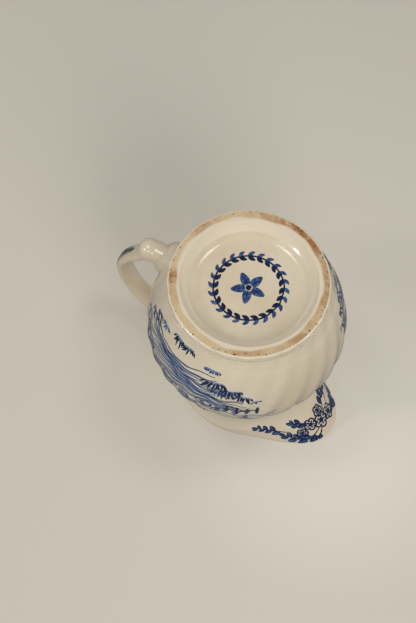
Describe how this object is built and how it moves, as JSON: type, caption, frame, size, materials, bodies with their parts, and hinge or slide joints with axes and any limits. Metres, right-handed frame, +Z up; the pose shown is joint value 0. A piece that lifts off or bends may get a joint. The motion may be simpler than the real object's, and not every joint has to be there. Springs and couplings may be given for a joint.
{
  "type": "cream jug",
  "caption": "Small swirl-fluted glazed cream jug on a low foot ring, with a wide pouring lip and a loop handle with a rounded spur.",
  "frame": {"origin": "centre of the foot ring's flat rest face, on the body's axis", "axes": "+Z up through the body, +X towards the tip of the pouring lip, so the handle is at -X and +Y is the jug's left side seen from behind the handle"},
  "size_m": [0.1077, 0.0797, 0.1],
  "materials": {
    "glazed_earthenware": "glossy clear glaze over cream clay, with an underglaze cobalt transfer print",
    "bare_foot": "worn unglazed rest face, stained tan",
    "slip": "glossy glaze pooled over slip"
  },
  "bodies": {
    "root": {"body": "glazed_earthenware", "foot_ring": "bare_foot", "handle": "glazed_earthenware", "upper_collar": "slip", "lower_collar": "slip"}
  },
  "joints": []
}
